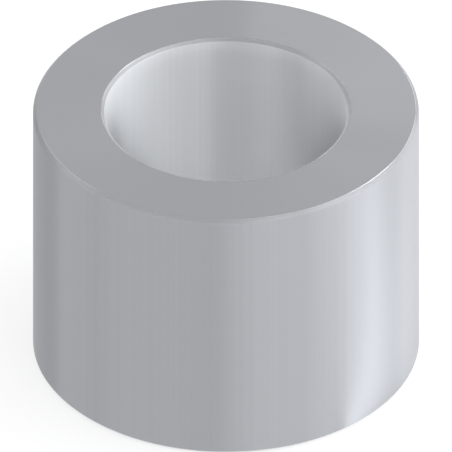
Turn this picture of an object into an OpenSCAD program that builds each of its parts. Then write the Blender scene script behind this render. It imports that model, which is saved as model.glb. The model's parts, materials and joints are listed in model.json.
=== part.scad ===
// Plain sleeve bushing, turned from one piece of steel: a straight tube with flat end faces
// and a 45 degree chamfer on all four rims.
// Sizes are in millimetres. The bore runs along Z, and the lower end face lies at Z = 0.

/* [Sleeve] */
// Outside diameter, which seats in the housing
outer_d = 27; // [20:0.5:60]
// Bore diameter, which seats the shaft
bore_d = 17; // [4:0.5:24]
// Length from end face to end face
sleeve_l = 20; // [4:0.5:80]

/* [Rims] */
// Leg of the chamfer on both outside rims
outer_chamfer = 0.25; // [0.05:0.05:1.5]
// Leg of the chamfer on both bore rims
bore_chamfer = 0.25; // [0.05:0.05:1.5]

/* [Hidden] */

outer_r = outer_d / 2;
bore_r = bore_d / 2;
steel = [0.66, 0.66, 0.68];
// Segments round a full turn
turn_segments = 180;

// The wall cut through its axis, with radius along X and height along Y
module wall_section() {
    polygon([
        [bore_r + bore_chamfer, 0],
        [outer_r - outer_chamfer, 0],
        [outer_r, outer_chamfer],
        [outer_r, sleeve_l - outer_chamfer],
        [outer_r - outer_chamfer, sleeve_l],
        [bore_r + bore_chamfer, sleeve_l],
        [bore_r, sleeve_l - bore_chamfer],
        [bore_r, bore_chamfer],
    ]);
}

// The whole sleeve, the section turned about the bore's axis
module bushing() {
    color(steel)
        rotate_extrude($fn = turn_segments)
            wall_section();
}

bushing();
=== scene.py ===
import json
import math

import bmesh
import bpy
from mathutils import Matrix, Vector


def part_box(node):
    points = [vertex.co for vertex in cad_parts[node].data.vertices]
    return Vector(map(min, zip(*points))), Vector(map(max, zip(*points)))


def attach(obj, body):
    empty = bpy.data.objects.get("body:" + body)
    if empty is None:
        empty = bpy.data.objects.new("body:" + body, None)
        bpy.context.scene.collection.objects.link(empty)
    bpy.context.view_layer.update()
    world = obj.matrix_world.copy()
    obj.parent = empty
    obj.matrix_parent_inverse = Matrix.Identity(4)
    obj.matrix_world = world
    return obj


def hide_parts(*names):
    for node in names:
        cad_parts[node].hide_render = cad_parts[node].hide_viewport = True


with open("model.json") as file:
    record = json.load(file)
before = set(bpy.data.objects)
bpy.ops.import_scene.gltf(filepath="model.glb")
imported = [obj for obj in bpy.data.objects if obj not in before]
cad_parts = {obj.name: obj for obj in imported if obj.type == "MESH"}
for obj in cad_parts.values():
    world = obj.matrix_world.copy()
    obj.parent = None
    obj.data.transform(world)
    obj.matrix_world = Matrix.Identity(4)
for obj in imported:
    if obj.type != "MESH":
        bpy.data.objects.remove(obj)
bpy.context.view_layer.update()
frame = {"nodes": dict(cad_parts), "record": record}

print("frame loaded:", sorted(frame["nodes"]))

# sizes of the turned sleeve, the first three read from the frame and its record
low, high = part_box("bushing")
boreSeat = next(mount for mount in frame["record"]["mounts"] if mount["name"] == "bore")
sleeve = {
    "length": high.z - low.z,
    "outerRadius": (high.x - low.x) / 2,
    "boreRadius": boreSeat["dims"]["r_mm"] / 1000,
    "facets": 360,              # round a full turn
    "edgeBreak": 0.00003,       # tiny round left where a chamfer meets its neighbours
    "edgeSteps": 2,
    "endNormal": 0.9,           # an end face's normal stands at least this steep
    "angleSlack": 0.1,          # radians, when corners are picked by their angle
    "mergeDistance": 0.000001,
    "wideFaceWeight": 100,
}
sleeve["chamfer"] = (sleeve["length"] - boreSeat["dims"]["length_mm"] / 1000) / 2
sleeve["middle"] = Vector((0, 0, low.z + sleeve["length"] / 2))


class Wire:
    # a shader socket that can be used in sums: each sum adds its Math node
    def __init__(self, tree, socket=None):
        self.tree = tree
        self.socket = socket

    def node(self, kind, settings=None, inputs=None, output=0):
        # any other node: its settings first, then its sockets' values or links
        made = self.tree.nodes.new(kind)
        for name, value in (settings or {}).items():
            setattr(made, name, value)
        for name, value in (inputs or {}).items():
            if isinstance(value, Wire):
                self.tree.links.new(value.socket, made.inputs[name])
            else:
                made.inputs[name].default_value = value
        return Wire(self.tree, made.outputs[output]) if len(made.outputs) else made

    def out(self, name):
        return Wire(self.tree, self.socket.node.outputs[name])

    def maths(self, operation, *values):
        return self.node("ShaderNodeMath", {"operation": operation}, dict(enumerate(values)))

    def __add__(self, other):
        return self.maths("ADD", self, other)

    def __radd__(self, other):
        return self.maths("ADD", other, self)

    def __sub__(self, other):
        return self.maths("SUBTRACT", self, other)

    def __rsub__(self, other):
        return self.maths("SUBTRACT", other, self)

    def __mul__(self, other):
        return self.maths("MULTIPLY", self, other)

    def __rmul__(self, other):
        return self.maths("MULTIPLY", other, self)

    def __truediv__(self, other):
        return self.maths("DIVIDE", self, other)

    def __rtruediv__(self, other):
        return self.maths("DIVIDE", other, self)

    def __pow__(self, other):
        return self.maths("POWER", self, other)

    def __rpow__(self, other):
        return self.maths("POWER", other, self)

    def __lt__(self, other):
        return self.maths("LESS_THAN", self, other)

    def __gt__(self, other):
        return self.maths("GREATER_THAN", self, other)


def emptyMaterial(name):
    material = bpy.data.materials.new(name)
    material.use_nodes = True
    material.node_tree.nodes.clear()
    return material, Wire(material.node_tree)


def blendColour(wire, factor, under, over, blend="MIX"):
    # sockets 6, 7 and 2 are the Mix node's two colours and its colour result
    return wire.node(
        "ShaderNodeMix",
        {"data_type": "RGBA", "blend_type": blend},
        {"Factor": factor, 6: under, 7: over},
        output=2,
    )


def selectParts(piece, kind, wanted):
    bpy.ops.mesh.select_mode(type=kind)
    bpy.ops.mesh.select_all(action="DESELECT")
    mesh = bmesh.from_edit_mesh(piece.data)
    parts = mesh.faces if kind == "FACE" else mesh.edges
    for part in parts:
        part.select_set(wanted(part))
    bmesh.update_edit_mesh(piece.data)


def turnSleeve():
    bpy.ops.object.select_all(action="DESELECT")
    bpy.ops.mesh.primitive_cylinder_add(
        vertices=sleeve["facets"],
        radius=sleeve["outerRadius"],
        depth=sleeve["length"],
        location=sleeve["middle"],
    )
    piece = bpy.context.active_object
    piece.name = "turnedSleeve"
    bpy.ops.object.transform_apply(location=True, rotation=True, scale=True)

    def onEnd(face):
        return abs(face.normal.z) > sleeve["endNormal"]

    def cornersOf(angle):
        return lambda edge: abs(edge.calc_face_angle(0) - angle) < sleeve["angleSlack"]

    # bore: both ends inset to the bore's circle, then joined by a tunnel
    bpy.ops.object.mode_set(mode="EDIT")
    selectParts(piece, "FACE", onEnd)
    bpy.ops.mesh.inset(thickness=sleeve["outerRadius"] - sleeve["boreRadius"])
    bpy.ops.mesh.bridge_edge_loops()

    # chamfers: the four rims, where an end face meets a wall squarely
    selectParts(piece, "EDGE", cornersOf(math.pi / 2))
    bpy.ops.mesh.bevel(offset=sleeve["chamfer"], segments=1, affect="EDGES")

    # edge break: both corners of every chamfer
    selectParts(piece, "EDGE", cornersOf(math.pi / 4))
    bpy.ops.mesh.bevel(offset=sleeve["edgeBreak"], segments=sleeve["edgeSteps"], affect="EDGES")
    bpy.ops.mesh.select_all(action="SELECT")
    bpy.ops.mesh.remove_doubles(threshold=sleeve["mergeDistance"])
    bpy.ops.mesh.normals_make_consistent(inside=False)
    bpy.ops.object.mode_set(mode="OBJECT")

    # smooth, with the wide faces ruling the normals at the broken edges
    bpy.ops.object.shade_smooth()
    weighted = piece.modifiers.new("wideFacesRule", "WEIGHTED_NORMAL")
    weighted.weight = sleeve["wideFaceWeight"]
    bpy.ops.object.modifier_apply(modifier=weighted.name)
    print("sleeve turned:", len(piece.data.polygons), "faces")
    return piece


steelFinish = {
    # colour and roughness of each surface; the rims are the chamfers
    # painted light: the outer chamfers are painted paler than the walls, to stand in for light that the
    # lamps give them too little of
    "outerRims": ((0.46, 0.466, 0.486, 1), 0.52),
    # painted light: the bore's chamfers are painted paler than the outer ones, to lift the shade that
    # falls on them at the bore's rim
    "boreRims": ((0.60, 0.608, 0.63, 1), 0.60),
    "outside": ((0.366, 0.371, 0.392, 1), 0.40),
    # painted light: the bore's colour is painted about twice as pale as the outside's, to stand in for
    # the light that its own hollow shades off
    "bore": ((0.77, 0.78, 0.80, 1), 0.50),
    "ends": ((0.352, 0.357, 0.377, 1), 0.19),
    "anisotropy": 1.0,
    "anisotropyTurn": 0.25,   # lay of the cut, in turns: round the axis
    "layAcross": 4500,        # noise cells to a metre across the cutting marks
    "layAlong": 40,           # and along them, round the turn
    "layDetail": 3,
    "layDepth": 0.0000005,
    "layRoughness": 0.06,
    "drawLines": 45,          # noise cells to a radian, for the faint lines down both walls
    "drawTone": 0.06,
    "noiseMiddle": 0.5,       # level about which a noise varies
}


def turnedSteel():
    material, wire = emptyMaterial("turnedSteel")
    place = wire.node("ShaderNodeTexCoord", output="Object")
    x = wire.node("ShaderNodeSeparateXYZ", inputs={"Vector": place}, output="X")
    y = x.out("Y")
    z = x.out("Z")
    radius = (x * x + y * y) ** 0.5

    # rings about the axis: the noise runs across radius and height, and only slowly round the turn
    across = steelFinish["layAcross"]
    along = steelFinish["layAlong"]
    at = wire.node(
        "ShaderNodeCombineXYZ", inputs={"X": radius * across, "Y": z * across, "Z": x * along}
    )
    lay = wire.node(
        "ShaderNodeTexNoise",
        {"noise_dimensions": "4D"},
        {"Vector": at, "W": y * along, "Scale": 1, "Detail": steelFinish["layDetail"]},
    )

    # which surface a point is on, a later one laid over an earlier; what is left is an outer rim
    skin = sleeve["edgeBreak"]
    zones = {
        "boreRims": radius < (sleeve["boreRadius"] + sleeve["outerRadius"]) / 2,
        "outside": radius > sleeve["outerRadius"] - skin,
        "bore": radius < sleeve["boreRadius"] + skin,
        "ends": (z < low.z + skin) + (z > high.z - skin),
    }
    colour, roughness = steelFinish["outerRims"]
    for name, zone in zones.items():
        zoneColour, zoneRoughness = steelFinish[name]
        colour = blendColour(wire, zone, colour, zoneColour)
        roughness = roughness + zone * (zoneRoughness - roughness)
    roughness = roughness + (lay - steelFinish["noiseMiddle"]) * steelFinish["layRoughness"]

    # draw lines: the tone changes round the walls and stays the same down them
    turn = wire.node(
        "ShaderNodeCombineXYZ",
        inputs={"X": x / radius * steelFinish["drawLines"], "Y": y / radius * steelFinish["drawLines"]},
    )
    lines = wire.node("ShaderNodeTexNoise", {"noise_dimensions": "2D"}, {"Vector": turn, "Scale": 1})
    walls = zones["outside"] + zones["bore"]
    tone = 1 + (lines - steelFinish["noiseMiddle"]) * steelFinish["drawTone"] * walls
    colour = blendColour(wire, 1, colour, tone, "MULTIPLY")

    bump = wire.node(
        "ShaderNodeBump", inputs={"Height": lay, "Distance": steelFinish["layDepth"], "Strength": 1}
    )
    shader = wire.node(
        "ShaderNodeBsdfPrincipled",
        inputs={
            "Base Color": colour,
            "Metallic": 1,
            "Roughness": roughness,
            "Anisotropic": steelFinish["anisotropy"],
            "Anisotropic Rotation": steelFinish["anisotropyTurn"],
            "Normal": bump,
        },
    )
    wire.node("ShaderNodeOutputMaterial", inputs={"Surface": shader})
    print("steel mixed:", len(material.node_tree.nodes), "nodes")
    return material


studio = {
    "floorSize": 3.0,
    "floorDrop": 0.00001,   # a hair under the lower end face
    "floorColour": (0.95, 0.95, 0.95, 1),
    "floorGlow": 0.65,      # share of plain white in what the camera sees of the floor
    "white": (1, 1, 1, 1),
    "cool": (0.98, 1.005, 1.02, 1),  # tint of the panels and the board
    "fill": 1.0,            # sky that lights the floor
    # soft panels: azimuths from the front toward the right, elevations, distance, brightness
    "panels": {
        "leftLow": (-105, -70, 0, 9, 0.25, 1.7),
        "frontLow": (-70, 0, 0, 9, 0.25, 3.3),
        "ramp": (0, 45, 0, 9, 0.25, 5.3),
        "rampHead": (45, 78, 0, 9, 0.25, 5.9),
        "sideLow": (78, 94, 0, 9, 0.25, 1.2),
        "sideTail": (110, 160, 0, 10, 0.25, 3.3),
        "sideMiddle": (104, 142, 12, 36, 0.25, 1.6),
        "leftHigh": (-150, -85, 36, 50, 0.25, 0.8),
        "rightHigh": (15, 60, 36, 50, 0.25, 2.1),
        "sideHigh": (58, 88, 36, 50, 0.25, 3.6),
        "sideHighBack": (88, 122, 36, 50, 0.25, 5.0),
        "backCard": (158, 178, 24, 46, 0.09, 0.23),
    },
    # a glowing board on the floor at the right, brightest along its front edge
    "board": {"left": 0.0086, "right": 0.060, "front": -0.0108, "back": 0.040},
    "boardGlow": 3.5,
    "boardFade": math.radians(60),  # turn about its inner front corner in which it fades to plain white
    # a dark card that shades the sleeve's left edge: azimuths, elevations, distance
    "flag": (-140, -104, 0, 11, 0.25),
    "flagColour": (0.02, 0.02, 0.02, 1),
}


def seenDirectly(wire, cameraShare=1):
    # camera, mirror and glass rays, which see the plain white studio
    ray = wire.node("ShaderNodeLightPath", output="Is Camera Ray")
    seen = ray * cameraShare + ray.out("Is Glossy Ray") + ray.out("Is Transmission Ray")
    return wire.maths("MINIMUM", seen, 1)


def layFloor():
    bpy.ops.object.select_all(action="DESELECT")
    bpy.ops.mesh.primitive_plane_add(
        size=studio["floorSize"], location=(0, 0, low.z - studio["floorDrop"])
    )
    floor = bpy.context.active_object
    floor.name = "studioFloor"
    material, wire = emptyMaterial("paleFloor")
    matt = wire.node("ShaderNodeBsdfDiffuse", inputs={"Color": studio["floorColour"]})
    glow = wire.node("ShaderNodeEmission", inputs={"Color": studio["white"], "Strength": 1})
    mixed = wire.node(
        "ShaderNodeMixShader", inputs={0: seenDirectly(wire, studio["floorGlow"]), 1: matt, 2: glow}
    )
    wire.node("ShaderNodeOutputMaterial", inputs={"Surface": mixed})
    floor.data.materials.append(material)


def cardPlace(start, end, foot, head, distance):
    # size and placing of a flat card that faces the sleeve's foot and spans these angles
    azimuth = math.radians((start + end) / 2)
    elevation = math.radians((foot + head) / 2)
    width = 2 * distance * math.cos(elevation) * math.tan(math.radians(end - start) / 2)
    tall = 2 * distance * math.tan(math.radians(head - foot) / 2)
    along = distance * math.cos(elevation)
    up = low.z + distance * math.sin(elevation)
    location = (along * math.sin(azimuth), -along * math.cos(azimuth), up)
    return width, tall, {"location": location, "rotation": (math.pi / 2 - elevation, 0, azimuth)}


def raiseFlag():
    width, tall, placing = cardPlace(*studio["flag"])
    bpy.ops.object.select_all(action="DESELECT")
    bpy.ops.mesh.primitive_plane_add(size=1, **placing)
    flag = bpy.context.active_object
    flag.name = "darkFlag"
    flag.scale = (width, tall, 1)
    flag.visible_camera = False
    material, wire = emptyMaterial("blackCloth")
    matt = wire.node("ShaderNodeBsdfDiffuse", inputs={"Color": studio["flagColour"]})
    wire.node("ShaderNodeOutputMaterial", inputs={"Surface": matt})
    flag.data.materials.append(material)


def layBoard():
    edges = studio["board"]
    bpy.ops.object.select_all(action="DESELECT")
    bpy.ops.mesh.primitive_plane_add(
        size=1,
        location=(
            (edges["left"] + edges["right"]) / 2,
            (edges["front"] + edges["back"]) / 2,
            low.z - studio["floorDrop"] / 2,
        ),
    )
    board = bpy.context.active_object
    board.name = "glowBoard"
    board.scale = (edges["right"] - edges["left"], edges["back"] - edges["front"], 1)
    bpy.ops.object.transform_apply(location=True, rotation=True, scale=True)
    board.visible_camera = False
    board.visible_diffuse = False
    board.visible_shadow = False
    material, wire = emptyMaterial("glowingBoard")
    place = wire.node("ShaderNodeTexCoord", output="Object")
    x = wire.node("ShaderNodeSeparateXYZ", inputs={"Vector": place}, output="X")
    turn = wire.maths("ARCTAN2", x.out("Y") - edges["front"], x - edges["left"])
    share = wire.maths("MAXIMUM", 1 - turn / studio["boardFade"], 0)
    plain = wire.node("ShaderNodeEmission", inputs={"Color": studio["white"], "Strength": 1})
    bright = wire.node(
        "ShaderNodeEmission", inputs={"Color": studio["cool"], "Strength": studio["boardGlow"]}
    )
    mixed = wire.node("ShaderNodeMixShader", inputs={0: share, 1: plain, 2: bright})
    wire.node("ShaderNodeOutputMaterial", inputs={"Surface": mixed})
    board.data.materials.append(material)


def addPanel(name, width, tall, placing, brightness):
    # a soft panel that the camera doesn't see, as bright as the white studio times its brightness
    bpy.ops.object.light_add(type="AREA", **placing)
    panel = bpy.context.active_object
    panel.name = name
    panel.visible_camera = False
    panel.data.shape = "RECTANGLE"
    panel.data.size = width
    panel.data.size_y = tall
    panel.data.energy = brightness * math.pi * width * tall
    panel.data.color = studio["cool"][:3]


def lightStudio():
    world = bpy.data.worlds.new("whiteStudio")
    bpy.context.scene.world = world
    world.use_nodes = True
    world.node_tree.nodes.clear()
    wire = Wire(world.node_tree)
    fill = wire.node(
        "ShaderNodeBackground", inputs={"Color": studio["white"], "Strength": studio["fill"]}
    )
    white = wire.node("ShaderNodeBackground", inputs={"Color": studio["white"], "Strength": 1})
    mixed = wire.node("ShaderNodeMixShader", inputs={0: seenDirectly(wire), 1: fill, 2: white})
    wire.node("ShaderNodeOutputWorld", inputs={"Surface": mixed})

    for name, (*span, brightness) in studio["panels"].items():
        addPanel(name, *cardPlace(*span), brightness)
    print("studio lit:", len(studio["panels"]), "panels")


view = {
    "elevation": math.atan(math.sqrt(0.5)),  # true isometric
    "distance": 0.15,
    "clipStart": 0.001,
    "frameWidth": 452,    # pixels of the photograph
    "sleeveWidth": 386,   # pixels across the sleeve in it
}


def placeCamera():
    back = Vector((0, -math.cos(view["elevation"]), math.sin(view["elevation"])))
    bpy.ops.object.camera_add(
        location=sleeve["middle"] + back * view["distance"],
        rotation=(math.pi / 2 - view["elevation"], 0, 0),
    )
    camera = bpy.context.active_object
    camera.name = "isometricCamera"
    camera.data.type = "ORTHO"
    camera.data.ortho_scale = 2 * sleeve["outerRadius"] * view["frameWidth"] / view["sleeveWidth"]
    camera.data.clip_start = view["clipStart"]
    bpy.context.scene.camera = camera
    print("camera placed")


turnedSleeve = turnSleeve()
turnedSleeve.data.materials.clear()
turnedSleeve.data.materials.append(turnedSteel())
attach(turnedSleeve, "root")
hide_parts("bushing")
layFloor()
layBoard()
raiseFlag()
lightStudio()
placeCamera()
bpy.context.scene.view_settings.view_transform = "Standard"
